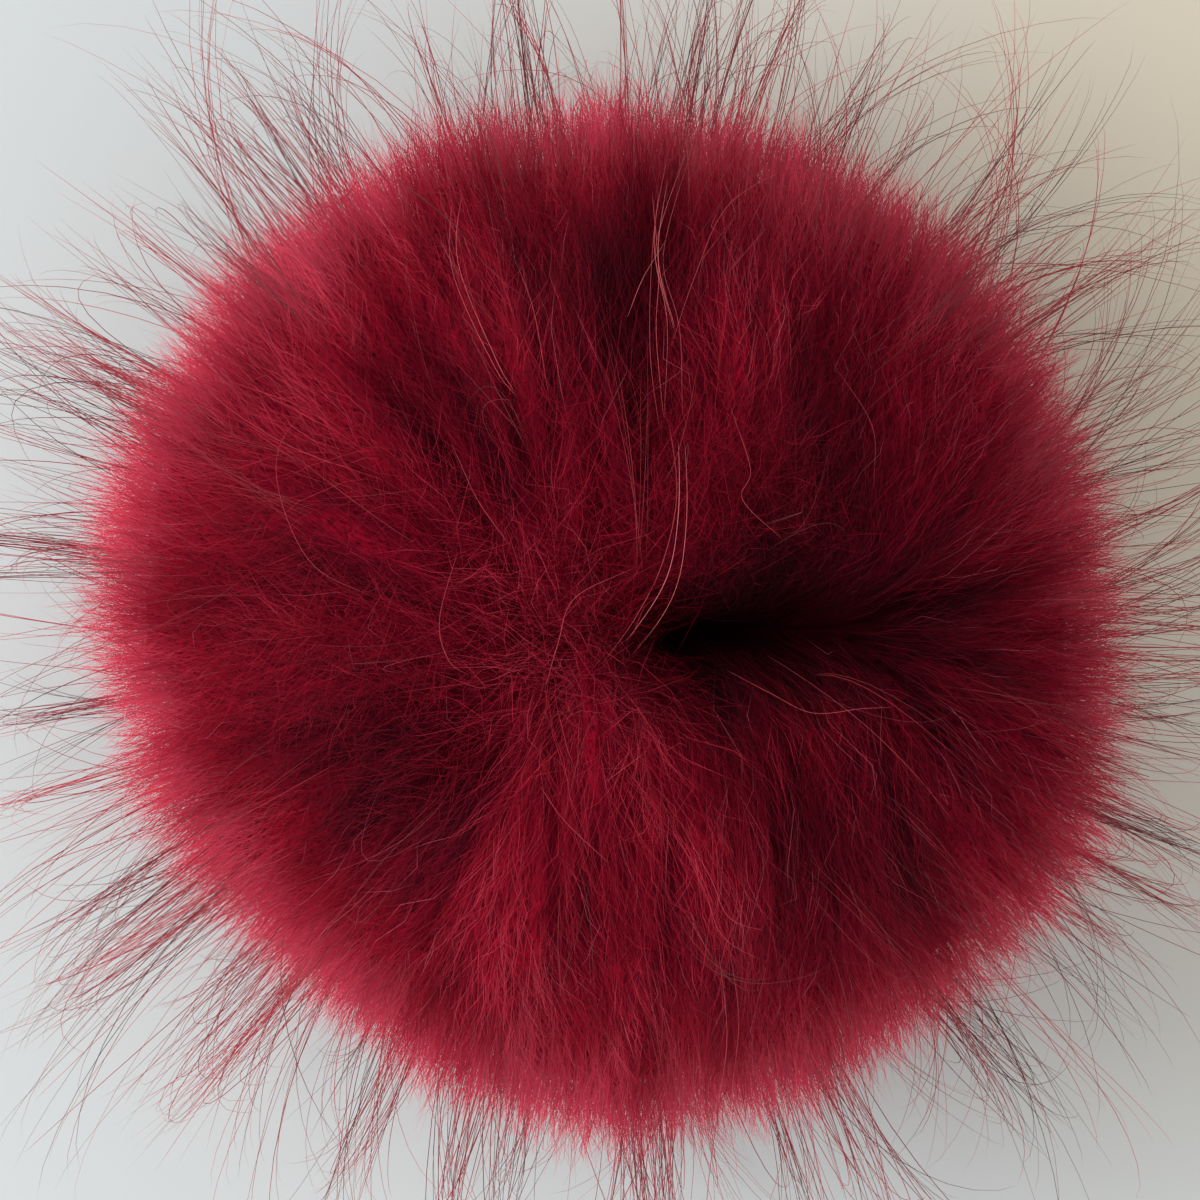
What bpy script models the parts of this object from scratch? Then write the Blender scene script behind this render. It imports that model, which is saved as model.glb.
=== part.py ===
"""A dyed fur pom pom, resting on a flat surface.

Metres, +Z up. The origin is the centre of the flat spot that the ball rests on. Seen from above,
+X is to the right and +Y is up.

It is one solid, as the real thing is one piece of fur drawn up into a ball. The dense underfur is
a lumpy ball with a parting and several hollows. Its tufts, and the wisps of long guard hair that
stand out past them, grow from that ball as tapering locks of three or four sides.
"""

import math
from collections import namedtuple

import bmesh
import bpy
import numpy as np
from mathutils import Vector

# ---- driving dimensions -------------------------------------------------------------------
CORE_RADIUS = 0.0475  # the underfur where it is too dense to see into
CORE_HEIGHT = 0.0435  # of the ball's centre above the surface: its own weight flattens it
FLAT_RADIUS = 0.0185  # of the flat spot that it rests on

ROOT_CORNERS = 296  # corners of the faces that the locks grow from, over the whole ball
FLAT_CORNERS = 14
FLAT_MARGIN = 0.075  # how far the other corners keep above the flat spot's edge, on a unit ball
STRAY = 0.13  # how far a corner strays from its even place, as a share of their spacing
SEED = 6

# ---- the form of the underfur -------------------------------------------------------------
# A groove runs from start to end as seen from above.
Groove = namedtuple("Groove", "start end depth half_width")
PARTING = Groove((0.0060, -0.0026), (0.0250, -0.0016), 0.0150, 0.0048)
GROOVES = (
    PARTING,
    Groove((0.0250, -0.0016), (0.0420, 0.0040), 0.0050, 0.0055),  # the parting runs out
    Groove((0.0020, 0.0440), (-0.0030, 0.0270), 0.0055, 0.0070),  # hollow near the top edge
    Groove((-0.0200, 0.0270), (-0.0090, 0.0130), 0.0035, 0.0045),  # crease, upper left
    Groove((-0.0250, -0.0190), (-0.0150, -0.0135), 0.0060, 0.0085),  # hollow, lower left
    Groove((0.0240, 0.0110), (0.0270, 0.0300), 0.0030, 0.0045),  # crease, upper right
    Groove((0.0110, -0.0090), (0.0300, -0.0280), 0.0035, 0.0060),  # crease, lower right
)

# A bulge stands proud of the ball, or lies under it where its height is negative. Azimuth is
# measured from +X towards +Y, and polar from straight up. All three angles are in degrees.
Bulge = namedtuple("Bulge", "azimuth polar height spread")
BULGES = (
    Bulge(-30, 82, 0.0040, 26),
    Bulge(-85, 80, 0.0020, 24),
    Bulge(-130, 80, -0.0038, 24),
    Bulge(-78, 42, 0.0026, 17),
    Bulge(30, 62, 0.0012, 20),
    Bulge(95, 72, 0.0010, 16),
    Bulge(170, 74, 0.0016, 24),
    Bulge(125, 38, 0.0016, 20),
    Bulge(60, 105, 0.0022, 22),
    Bulge(-160, 108, -0.0020, 20),
)

# ---- the locks ------------------------------------------------------------------------------
# Every face of the ball is drawn out into one lock, which ends in a point. Reach is measured from
# the ball's centre. A station is a share of the lock's length, and its width there is a share of
# its root's width. Lean bends the lock over with the comb of the fur, sag bends it down, and
# spread is the share by which one lock's length differs from another's.
Kind = namedtuple("Kind", "reach stations widths lean sag spread")
TUFT = Kind(0.0565, (0.40, 0.76), (0.84, 0.50), 0.80, 0.12, 0.13)
WISP = Kind(0.0770, (0.17, 0.36, 0.68), (0.50, 0.20, 0.12), 0.45, 0.16, 0.07)
LOW_WISP = Kind(0.0740, (0.17, 0.36, 0.68), (0.50, 0.20, 0.12), 0.10, 0.10, 0.07)

WISPS = 92  # at most, because two wisps never stand side by side
LOW_WISPS = 16
LOW_BAND = (104, 122)  # polar angles, in degrees, of the wisps that come down to the surface
LOWEST_LOCK = 147  # polar angle, in degrees, below which the fur is pressed flat
SHORTER_FROM = 100  # polar angle, in degrees, below which the surface presses the tufts shorter
LEAST_SHARE = 0.42  # of its length that is left to the lowest tuft
SWIRL = 0.22  # radians by which one lock strays from its neighbours

# ---- the finish -----------------------------------------------------------------------------
FUR_COLOUR = (0.255, 0.012, 0.030, 1.0)
FUR_ROUGHNESS = 0.85
FUR_SHEEN = 0.5

UP = Vector((0, 0, 1))
CENTRE = np.array([0, 0, CORE_HEIGHT])
SAME_HEIGHT = 1e-4  # two corners this close in height, on a unit ball, are level
LEAST_LENGTH = 1e-12  # below which a vector is too short to have a direction


def clear_scene():
    for obj in list(bpy.data.objects):
        bpy.data.objects.remove(obj)


def unit(vector):
    return vector / max(np.linalg.norm(vector), LEAST_LENGTH)


def direction_of(azimuth, polar):
    """The unit vector at an azimuth and a polar angle in degrees."""
    a, p = math.radians(azimuth), math.radians(polar)
    return np.array([math.sin(p) * math.cos(a), math.sin(p) * math.sin(a), math.cos(p)])


def along_segment(point, start, end):
    """The point of the segment that is nearest to the point, all seen from above."""
    start, end = np.array(start), np.array(end)
    run = end - start
    share = np.clip((point - start) @ run / (run @ run), 0, 1)
    return start + share * run


def core_radius(direction):
    """The ball's radius in a direction: round, plus its bulges, less its grooves."""
    radius = CORE_RADIUS
    for bulge in BULGES:
        facing = direction @ direction_of(bulge.azimuth, bulge.polar)
        off_axis = math.degrees(math.acos(np.clip(facing, -1, 1)))
        radius += bulge.height * math.exp(-((off_axis / bulge.spread) ** 2))
    if direction[2] > 0:
        seen = CORE_RADIUS * direction[:2]
        for groove in GROOVES:
            away = np.linalg.norm(seen - along_segment(seen, groove.start, groove.end))
            radius -= groove.depth * math.exp(-((away / groove.half_width) ** 2))
    return radius


def comb_direction(direction):
    """Which way the fur is swept, along the ball: away from the parting."""
    seen = CORE_RADIUS * direction[:2]
    near = along_segment(seen, PARTING.start, PARTING.end)
    height = math.sqrt(max(CORE_RADIUS**2 - near @ near, 0))
    parting = unit(np.array([near[0], near[1], height]))
    swept = direction - parting
    return unit(swept - (swept @ direction) * direction)


def scattered_directions(rng):
    """Unit vectors spread evenly but not regularly over the ball, and a ring round its flat spot.

    They follow a spiral from the top to the bottom, a golden angle apart, each moved a little.
    """
    spacing = math.sqrt(4 * math.pi / ROOT_CORNERS)
    step = np.arange(ROOT_CORNERS) + 0.5
    height = 1 - 2 * step / ROOT_CORNERS
    turn = step * math.pi * (3 - math.sqrt(5))
    level = np.sqrt(1 - height**2)
    spiral = np.stack([level * np.cos(turn), level * np.sin(turn), height], axis=1)
    spiral += rng.normal(0, STRAY * spacing, spiral.shape)
    spiral /= np.linalg.norm(spiral, axis=1, keepdims=True)

    angles = np.arange(FLAT_CORNERS) * 2 * math.pi / FLAT_CORNERS
    ring = np.stack(
        [FLAT_RADIUS * np.cos(angles), FLAT_RADIUS * np.sin(angles), 0 * angles - CORE_HEIGHT],
        axis=1,
    )
    ring /= np.linalg.norm(ring, axis=1, keepdims=True)
    clear_of_ring = spiral[:, 2] > ring[0, 2] + FLAT_MARGIN
    return np.concatenate([spiral[clear_of_ring], ring])


def is_on_flat(direction):
    """Whether a unit direction points at the edge of the flat spot."""
    edge = -CORE_HEIGHT / math.hypot(FLAT_RADIUS, CORE_HEIGHT)
    return abs(direction[2] - edge) < SAME_HEIGHT


def gathered_ball(rng):
    """The underfur without its locks: a ball of uneven four-sided and three-sided faces."""
    ball = bmesh.new()
    for direction in scattered_directions(rng):
        ball.verts.new(direction)
    bmesh.ops.convex_hull(ball, input=ball.verts[:])
    under = [face for face in ball.faces if all(is_on_flat(vert.co) for vert in face.verts)]
    bmesh.ops.dissolve_faces(ball, faces=under)
    sides = [face for face in ball.faces if len(face.verts) == 3]
    bmesh.ops.join_triangles(
        ball,
        faces=sides,
        angle_face_threshold=math.pi,
        angle_shape_threshold=math.pi,
    )
    for vert in ball.verts:
        outwards = np.array(vert.co)
        place = outwards * core_radius(outwards)
        place[2] = 0 if is_on_flat(vert.co) else max(place[2] + CORE_HEIGHT, 0)
        vert.co = place
    return ball


def polar_of(face):
    """The polar angle of a face's centre about the ball's centre, in degrees."""
    return math.degrees((face.calc_center_median() - Vector(CENTRE)).angle(UP))


def scattered(faces, rng, count):
    """Up to count of the faces in a random order, none of them next to another."""
    chosen = set()
    for index in rng.permutation(len(faces)):
        face = faces[index]
        beside = {other for edge in face.edges for other in edge.link_faces}
        if len(chosen) < count and not beside & chosen:
            chosen.add(face)
    return chosen


def lock_line(root, outwards, comb, length, kind):
    """The lock's middle line: it leaves along outwards, leans over and sags as it goes."""
    shares = (0.0, *kind.stations, 1.0)
    points = [root]
    for before, after in zip(shares, shares[1:]):
        middle = (before + after) / 2
        heading = outwards + kind.lean * middle * comb
        heading[2] -= kind.sag * middle
        points.append(points[-1] + (after - before) * length * unit(heading))
    return points


def grow_lock(ball, face, outwards, comb, length, kind):
    """Draws one face out into a tapering lock, ring by ring, and ends it in a point."""
    root = np.array(face.calc_center_median())
    corners = [np.array(vert.co) - root for vert in face.verts]
    line = lock_line(root, outwards, comb, length, kind)
    for station, width in enumerate(kind.widths, start=1):
        face = bmesh.ops.extrude_discrete_faces(ball, faces=[face])["faces"][0]
        tangent = Vector(line[station + 1] - line[station - 1])
        turn = Vector(outwards).rotation_difference(tangent)
        for vert, corner in zip(face.verts, corners):
            vert.co = Vector(line[station]) + width * (turn @ Vector(corner))
        rest_on_surface(face.verts)
    tip = bmesh.ops.poke(ball, faces=[face])["verts"][0]
    tip.co = line[-1]
    rest_on_surface([tip])


def rest_on_surface(verts):
    """Lifts one ring of a lock so that it lies on the surface, and not through it."""
    lift = max(0, -min(vert.co.z for vert in verts))
    for vert in verts:
        vert.co.z += lift


def grow_locks(ball, rng):
    """Draws every face above the flat spot out into a tuft or a wisp."""
    low, high = LOW_BAND
    faces = [face for face in ball.faces if polar_of(face) < LOWEST_LOCK]
    low_wisps = scattered([f for f in faces if low < polar_of(f) < high], rng, LOW_WISPS)
    wisps = scattered([f for f in faces if polar_of(f) < low], rng, WISPS)
    for face in faces:
        kind = WISP if face in wisps else LOW_WISP if face in low_wisps else TUFT
        root = np.array(face.calc_center_median())
        outwards = unit(root - CENTRE)
        comb = comb_direction(outwards)
        comb = unit(comb + rng.normal(0, SWIRL) * np.cross(outwards, comb))
        pressed = (polar_of(face) - SHORTER_FROM) / (LOWEST_LOCK - SHORTER_FROM)
        share = 1 - (1 - LEAST_SHARE) * np.clip(pressed, 0, 1) if kind is TUFT else 1
        length = share * (kind.reach - np.linalg.norm(root - CENTRE))
        length *= 1 + rng.uniform(-1, 1) * kind.spread
        grow_lock(ball, face, outwards, comb, length, kind)


def fur_material():
    material = bpy.data.materials.new("dyed_fur")
    material.use_nodes = True
    shader = material.node_tree.nodes["Principled BSDF"]
    shader.inputs["Base Color"].default_value = FUR_COLOUR
    shader.inputs["Roughness"].default_value = FUR_ROUGHNESS
    shader.inputs["Metallic"].default_value = 0.0
    shader.inputs["Sheen Weight"].default_value = FUR_SHEEN
    return material


def build_pom_pom():
    rng = np.random.default_rng(SEED)
    ball = gathered_ball(rng)
    grow_locks(ball, rng)
    mesh = bpy.data.meshes.new("pom_pom")
    ball.to_mesh(mesh)
    ball.free()
    mesh.materials.append(fur_material())
    pom_pom = bpy.data.objects.new("pom_pom", mesh)
    bpy.context.scene.collection.objects.link(pom_pom)


clear_scene()
build_pom_pom()
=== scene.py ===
"""The looks of a dyed fur pom pom, resting on a pale floor.

Metres, +Z up. The origin is the centre of the flat spot under the ball. Seen from above, +X is to
the right and +Y is up, and every "plan" place is measured that way from the ball's middle.
"""

import math
from collections import namedtuple

import bpy
import numpy as np
from bpy.props import FloatProperty, FloatVectorProperty, IntProperty, PointerProperty
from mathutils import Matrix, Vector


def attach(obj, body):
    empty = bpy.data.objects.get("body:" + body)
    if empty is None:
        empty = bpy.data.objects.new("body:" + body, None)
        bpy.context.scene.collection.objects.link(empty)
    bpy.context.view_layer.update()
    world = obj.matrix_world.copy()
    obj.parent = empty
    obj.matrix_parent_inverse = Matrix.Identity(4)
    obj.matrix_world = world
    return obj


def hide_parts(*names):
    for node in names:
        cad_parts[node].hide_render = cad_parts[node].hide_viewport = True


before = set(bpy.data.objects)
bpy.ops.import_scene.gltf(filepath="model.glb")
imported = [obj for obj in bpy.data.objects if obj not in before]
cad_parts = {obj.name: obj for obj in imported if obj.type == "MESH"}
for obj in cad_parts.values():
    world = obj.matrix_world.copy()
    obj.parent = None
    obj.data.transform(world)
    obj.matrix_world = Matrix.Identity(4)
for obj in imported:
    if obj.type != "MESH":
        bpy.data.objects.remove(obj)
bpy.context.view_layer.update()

bl_info = {
    "name": "Fur pom pom",
    "version": (1, 0, 0),
    "blender": (4, 5, 0),
    "location": "3D View > Sidebar > Pom pom",
    "description": "Makes a dyed fur pom pom, hair by hair, and a plain studio for it",
    "category": "Object",
}

NODE = "pom_pom"
BODY = "root"
STRAND_UV = "OFBake"
SEED = 20

# ---- the form of the ball -------------------------------------------------------------------
# A groove runs from start to end in plan. A bulge stands proud, or lies under where its height is
# negative. Azimuth is measured from +X towards +Y and polar from straight up, in degrees.
Groove = namedtuple("Groove", "start end depth half_width")
PARTING = Groove((0.0060, -0.0026), (0.0212, -0.0016), 0.0150, 0.0043)
GROOVES = (
    PARTING,
    Groove((0.0250, -0.0016), (0.0400, 0.0030), 0.0034, 0.0050),
    Groove((0.0050, 0.0370), (0.0020, 0.0260), 0.0046, 0.0064),
    Groove((-0.0200, 0.0270), (-0.0090, 0.0130), 0.0035, 0.0045),
    Groove((-0.0250, -0.0190), (-0.0150, -0.0135), 0.0060, 0.0085),
    Groove((0.0240, 0.0110), (0.0270, 0.0300), 0.0030, 0.0045),
    Groove((0.0110, -0.0090), (0.0300, -0.0280), 0.0035, 0.0060),
)
# Painted shade in the grooves: how much darker the wool's tint is in each.
GROOVE_PAINTED_SHADES = (0.44, 0.10, 0.20, 0.20, 0.16, 0.14, 0.14)  # how much darker the wool is in each
Bulge = namedtuple("Bulge", "azimuth polar height spread")
BULGES = (
    Bulge(-30, 82, 0.0040, 26),
    Bulge(-85, 80, 0.0020, 24),
    Bulge(-130, 80, -0.0038, 24),
    Bulge(-78, 42, 0.0026, 17),
    Bulge(30, 62, 0.0012, 20),
    Bulge(95, 72, 0.0010, 16),
    Bulge(170, 74, 0.0016, 24),
    Bulge(125, 38, 0.0016, 20),
    Bulge(60, 105, 0.0022, 22),
    Bulge(-160, 108, -0.0020, 20),
)
COMB_LINE = ((-0.0048, -0.0027), (0.0260, -0.0016))  # the fur is swept away from this line
COMB_NEAR = 0.0080  # how far from that line the wool is still pressed down beside it
COMB_RING = 0.024  # the radius of a ring round that line, on which bearings are measured
PARTING_GAP = 0.0014  # half the width of the parting's open gap
EDGE_START, EDGE_RUN = 46, 40  # the polar angle where the edge begins, and how much more it takes
ASLANT = (0.31, 0.52, 0.79)  # a direction along no axis, from which tangents are worked out

# Finer forms of the wool, under what the solid shows: a ridge is a groove with a negative depth.
LOCKS = (
    Groove((0.0040, -0.0085), (0.0125, -0.0300), -0.0020, 0.0034),
    Groove((0.0150, -0.0080), (0.0270, -0.0230), -0.0012, 0.0030),
    Groove((-0.0035, -0.0105), (-0.0015, -0.0290), 0.0018, 0.0024),
    Groove((-0.0105, -0.0110), (-0.0130, -0.0280), -0.0014, 0.0030),
    Groove((0.0065, 0.0045), (0.0245, 0.0055), -0.0022, 0.0036),
    Groove((-0.0040, 0.0060), (-0.0090, 0.0260), -0.0012, 0.0040),
    Groove((0.0085, 0.0160), (0.0115, 0.0330), 0.0012, 0.0022),
    Groove((0.0170, 0.0150), (0.0220, 0.0290), -0.0010, 0.0028),
    Groove((-0.0260, 0.0100), (-0.0380, 0.0180), 0.0010, 0.0026),
    Groove((-0.0330, -0.0080), (-0.0440, -0.0110), 0.0010, 0.0030),
)

# Streaks of the wool along the comb: how wide and long they are, and how far the wool's reach and
# sweep change with them.
Streak = namedtuple("Streak", "across along reach sweep")
BROAD = Streak(0.0080, 0.045, 0.0015, 0.15)
NARROW = Streak(0.0028, 0.024, 0.0010, 0.12)
FINE = Streak(0.0012, 0.014, 0.0003, 0.0)

# ---- the dense wool -------------------------------------------------------------------------
PELT_COLUMNS, PELT_ROWS = 256, 128
PELT_RELIEF = 0.7  # how much of the wool's relief over the core it follows, as a share
PELT_OVER = 0.0011  # how far it then stands over that
PELT_EDGE_DROP = 0.0009  # how much lower it lies round the edge
PELT_COMB_DROP = 0.0012  # how much lower it lies beside the comb line
PELT_PARTING_DROP = 0.4  # how much deeper it lies in the parting, as a share
PELT_UNEVEN = 0.0003
# Painted shade: the dense wool's tint lies below the hair's, for the shade deep between the hairs.
PELT_PAINTED_SHADE_TINT = 0.17
# The dense wool also takes the wool's painted light and shade by place.
PELT_PLACE_SHADE = 0.6  # how much of the wool's shade by place it takes
# Painted shade beside the comb line, where the dense wool shows between the hairs.
PELT_COMB_PAINTED_SHADE = 0.06  # how much darker it is beside the comb line
GRAIN_SIZE = 0.00025  # of its streaks, across the comb
GRAIN_LENGTH = 12  # how many times as long they are along it
GRAIN_BEND = 0.0003

# ---- the coats of hair ----------------------------------------------------------------------
# Root and reach are heights over the core, and spread is how much the reach differs. Sweep is a
# share of the full sweep, gather is how far a hair is drawn into its clump, stray is how far it
# strays from its neighbours, in radians, wave is how far it wanders, shade is its tint before it
# changes by place with painted light and shade, and pale is the share of pale fibres, painted
# highlights that single fibres catch.
Coat = namedtuple(
    "Coat", "name hairs stations root reach sweep spread width gather stray wave shade pale"
)
THREE, FOUR = (0, 0.5, 1), (0, 0.4, 0.72, 1)  # stations along a hair, as shares of its length
COATS = (
    Coat(
        "wool_middle", 25000, THREE, root=0.0008, reach=0.0046, sweep=0.9, spread=0.0012,
        width=0.000092, gather=0.12, stray=0.22, wave=0.0005, shade=0.38, pale=0.01,
    ),
    Coat(
        "wool_over", 16000, FOUR, root=0.0012, reach=0.0062, sweep=1.0, spread=0.0015,
        width=0.000070, gather=0.22, stray=0.22, wave=0.0006, shade=0.44, pale=0.04,
    ),
    Coat(
        "wool_tips", 14500, FOUR, root=0.0030, reach=0.0076, sweep=1.0, spread=0.0020,
        width=0.000058, gather=0.28, stray=0.22, wave=0.0009, shade=0.50, pale=0.07,
    ),
    Coat(
        "wool_fuzz", 19500, THREE, root=0.0047, reach=0.0086, sweep=0.6, spread=0.0026,
        width=0.000045, gather=0.10, stray=0.50, wave=0.0006, shade=0.56, pale=0.07,
    ),
)
# How densely hair grows, by the height of its direction: densest round the ball's edge.
CROWDING = ((-1.0, 0.55), (-0.65, 0.65), (-0.35, 1.35), (0.45, 1.35), (0.75, 1.0), (1.0, 1.0))
BALL_SURFACE = 12.6  # in squares of its radius
SWEEP_LEAST, SWEEP_MORE = 4, 7  # degrees along the ball round the edge, and how many more on top
ROOT_DEPTH = 0.0026  # how much deeper hair is rooted round the edge
EDGE_WIDTH = 0.8  # how much wider the shortest wool is round the edge, as a share
# Painted light round the edge, where light shines through the thin wool: how much lighter its tint is
# there.
EDGE_PAINTED_LIGHT = 0.33  # how much lighter wool is round the edge
EDGE_EVEN_SHADE, EDGE_EVEN_REACH = 0.55, 0.65  # how much more even those are round the edge
EDGE_LIFT = 0.55  # how far the wool's face is turned upwards round the edge
TUFT_GATHER = 0.42  # how far wool is drawn into wider tufts round the edge
WOOL_TAPER = ((0, 0.6, 1), (1.0, 0.85, 0.2))  # shares of a hair's length, and of its width there
WOOL_SOFT = 0.88  # how far a wool hair shades as the mass does
# Pale fibres are painted highlights, the ones single fibres catch.
WOOL_TINT_MOST, PALE_HIGHLIGHT_TINT = 0.86, 0.985

# ---- the crown: matted wool along the comb line and left of it ------------------------------
CROWN_HAIRS = 4300
CROWN_ON_LINE = 0.45  # the share that is rooted along the comb line
CROWN_OFF_LINE = 0.0040  # how far from that line those are rooted
CROWN_IN_PATCH = 0.62  # how far from a matted patch's middle the rest are, as a share of its radius
CROWN_STATIONS = (0, 0.25, 0.5, 0.75, 1)
CROWN_ROOT = 0.0008  # under the core
CROWN_REACH, CROWN_REACH_SPREAD = 0.0056, 0.0014  # over the core
CROWN_SWEEP = (3, 10)  # least and most, in degrees
CROWN_CURL, CROWN_WAVE = 0.0018, 0.0006
CROWN_WIDTH = 0.000052
CROWN_TINT = 0.50

# ---- patches of the wool --------------------------------------------------------------------
# A patch fades out at its radius. Where the wool is matted, its hairs lie every way: the amount is
# in radians of stray.
Patch = namedtuple("Patch", "plan radius amount")
MATTED = (
    Patch((-0.0110, 0.0015), 0.0150, 1.30),
    Patch((-0.0240, -0.0040), 0.0120, 0.90),
    Patch((0.0030, -0.0040), 0.0060, 0.80),
    Patch((0.0140, 0.0110), 0.0070, 0.80),
)
# Painted light and shade on the wool, with some changes of its own tone: darker in hollows and on
# its shaded side, lighter on ridges and on its lit side. The amount is a change of tint.
PAINTED_LIGHT_AND_SHADE = (
    Patch((0.0100, 0.0220), 0.0150, -0.05),
    Patch((0.0040, 0.0330), 0.0090, -0.05),
    Patch((0.0310, 0.0130), 0.0130, -0.10),
    Patch((-0.0190, -0.0170), 0.0090, -0.15),
    Patch((0.0080, -0.0170), 0.0100, 0.12),
    Patch((0.0100, -0.0300), 0.0110, -0.05),
    Patch((0.0008, -0.0068), 0.0038, -0.06),
    Patch((-0.0290, 0.0300), 0.0150, 0.04),
    Patch((-0.0340, 0.0110), 0.0120, -0.07),
    Patch((0.0050, -0.0480), 0.0120, 0.06),
    Patch((0.0160, 0.0040), 0.0070, -0.12),
    Patch((0.0020, 0.0200), 0.0130, -0.12),
    Patch((0.0300, -0.0180), 0.0130, -0.14),
    Patch((0.0360, 0.0020), 0.0110, -0.09),
    Patch((-0.0030, -0.0010), 0.0080, 0.08),
    Patch((-0.0430, 0.0120), 0.0150, 0.08),
    Patch((-0.0040, 0.0400), 0.0100, -0.05),
    Patch((0.0040, 0.0465), 0.0060, 0.22),
    Patch((0.0050, 0.0415), 0.0040, 0.06),
    Patch((-0.0080, -0.0060), 0.0100, 0.04),
    Patch((0.0038, -0.0075), 0.0036, 0.07),
    Patch((0.0085, -0.0165), 0.0036, 0.05),
    Patch((0.0120, -0.0260), 0.0040, 0.06),
    Patch((0.0200, -0.0150), 0.0075, -0.10),
    Patch((0.0240, -0.0260), 0.0070, -0.07),
    Patch((-0.0010, -0.0200), 0.0035, -0.05),
    Patch((-0.0265, 0.0090), 0.0050, -0.08),
    Patch((-0.0012, -0.0140), 0.0040, -0.05),
)
# Streaks of lighter and darker wool along the comb: how much, how wide and how long.
SHADE_STREAKS = ((0.055, 0.0070, 0.040), (0.055, 0.0026, 0.030), (0.040, 0.0010, 0.016))

# ---- the guard hair -------------------------------------------------------------------------
GUARD_STATIONS = (0, 0.12, 0.24, 0.36, 0.48, 0.6, 0.7, 0.8, 0.9, 1)
GUARD_START, GUARD_RUN = 48, 26  # the polar angle where it starts to show, and how far to all of it
GUARD_LEAST = 0.07  # the share of it that shows on top
GUARD_LIMIT = 0.0865  # no guard hair reaches further from the ball's middle
GUARD_TAPER = ((0, 0.25, 0.6, 1), (0.9, 1.0, 0.8, 0.25))
GUARD_SOFT = 0.4  # how far a guard hair shades as the mass does
GUARD_ROOT = 0.001  # under the core
RED_SHARE = 0.68  # of the bundles
RED_TINTS, BROWN_TINTS = (0.40, 0.86), (0.05, 0.30)
HAIRS_IN_BUNDLE = 4
BUNDLES_ALIKE = 0.050  # how far apart bundles still bend alike
BUNDLE_TURN = (0.5, 0.55)  # off the comb, in radians: alike nearby, and each its own
BUNDLE_SWEEP = (9, 7)  # degrees along the comb, and their spread
BUNDLE_REACH = (0.001, 0.005)  # past the guard hair's reach, and its spread
BUNDLE_NEAREST, BUNDLE_FURTHEST = 0.060, 0.009  # its least reach, and its most past that reach
BUNDLE_BEND = (0.0060, 0.0045)  # aside: alike nearby, and each its own
BUNDLE_DROOP = 0.0025
BUNDLE_LENGTHS = (0.72, 1.08)  # of its hairs, as shares of its middle hair
BUNDLE_CROSSING = (0.45, 0.80)  # where its hairs cross its middle hair
BUNDLE_ROOTS, BUNDLE_TIPS = 0.0022, 0.0034  # how far its hairs spread at their roots and tips
TOP_HAIRS = 360
TOP_ROOT = 0.003  # under the core
TOP_REACH, TOP_REACH_SPREAD = 0.0082, 0.0020  # over the core
TOP_WIDTH = 0.5  # as a share of the guard hair's
WISP_HAIRS = (6, 15)  # fewest, and one more than the most
WISP_LEAST = 0.15  # the least share of them that a wisp on top has
WISP_RING = 0.68  # how far along a wisp the ring before its tip lies
WISP_LENGTHS = (0.80, 1.06)  # of its hairs, as shares of the wisp
WISP_ROOTS, WISP_TIPS, WISP_BOW = 0.0024, 0.0038, 0.0010  # how far its hairs spread and bow
WISP_OUTSIDE = 0.060  # a wisp's tip lies further out than this
TIPS_APART = 0.008

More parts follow.
